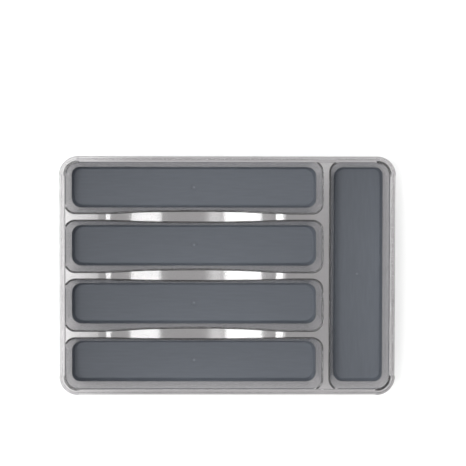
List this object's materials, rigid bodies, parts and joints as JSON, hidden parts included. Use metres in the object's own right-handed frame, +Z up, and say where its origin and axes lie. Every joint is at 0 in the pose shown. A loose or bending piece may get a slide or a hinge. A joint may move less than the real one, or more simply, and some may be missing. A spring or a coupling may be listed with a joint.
{
  "type": "cutlery tray",
  "caption": "Drawer cutlery tray of smoke-tinted moulded plastic: long wells beside a side well, hollow dividers with finger saddles, soft grey liners and rubber feet.",
  "frame": {"origin": "middle of the footprint, at the height of the table under the feet", "axes": "+X along the tray towards the side well, +Y across it towards the back well, +Z up"},
  "size_m": [0.395, 0.281, 0.05],
  "materials": {
    "smoke_plastic": "clear smoke-grey, polished mould finish",
    "soft_liner": "matt slate grey, finely textured",
    "foot_rubber": "matt dark grey"
  },
  "bodies": {
    "root": {"tray_body": "smoke_plastic", "long_well_liner_1": "soft_liner", "long_well_liner_2": "soft_liner", "long_well_liner_3": "soft_liner", "long_well_liner_4": "soft_liner", "side_well_liner": "soft_liner", "foot_front_left": "foot_rubber", "foot_front_right": "foot_rubber", "foot_back_left": "foot_rubber", "foot_back_right": "foot_rubber"}
  },
  "joints": []
}
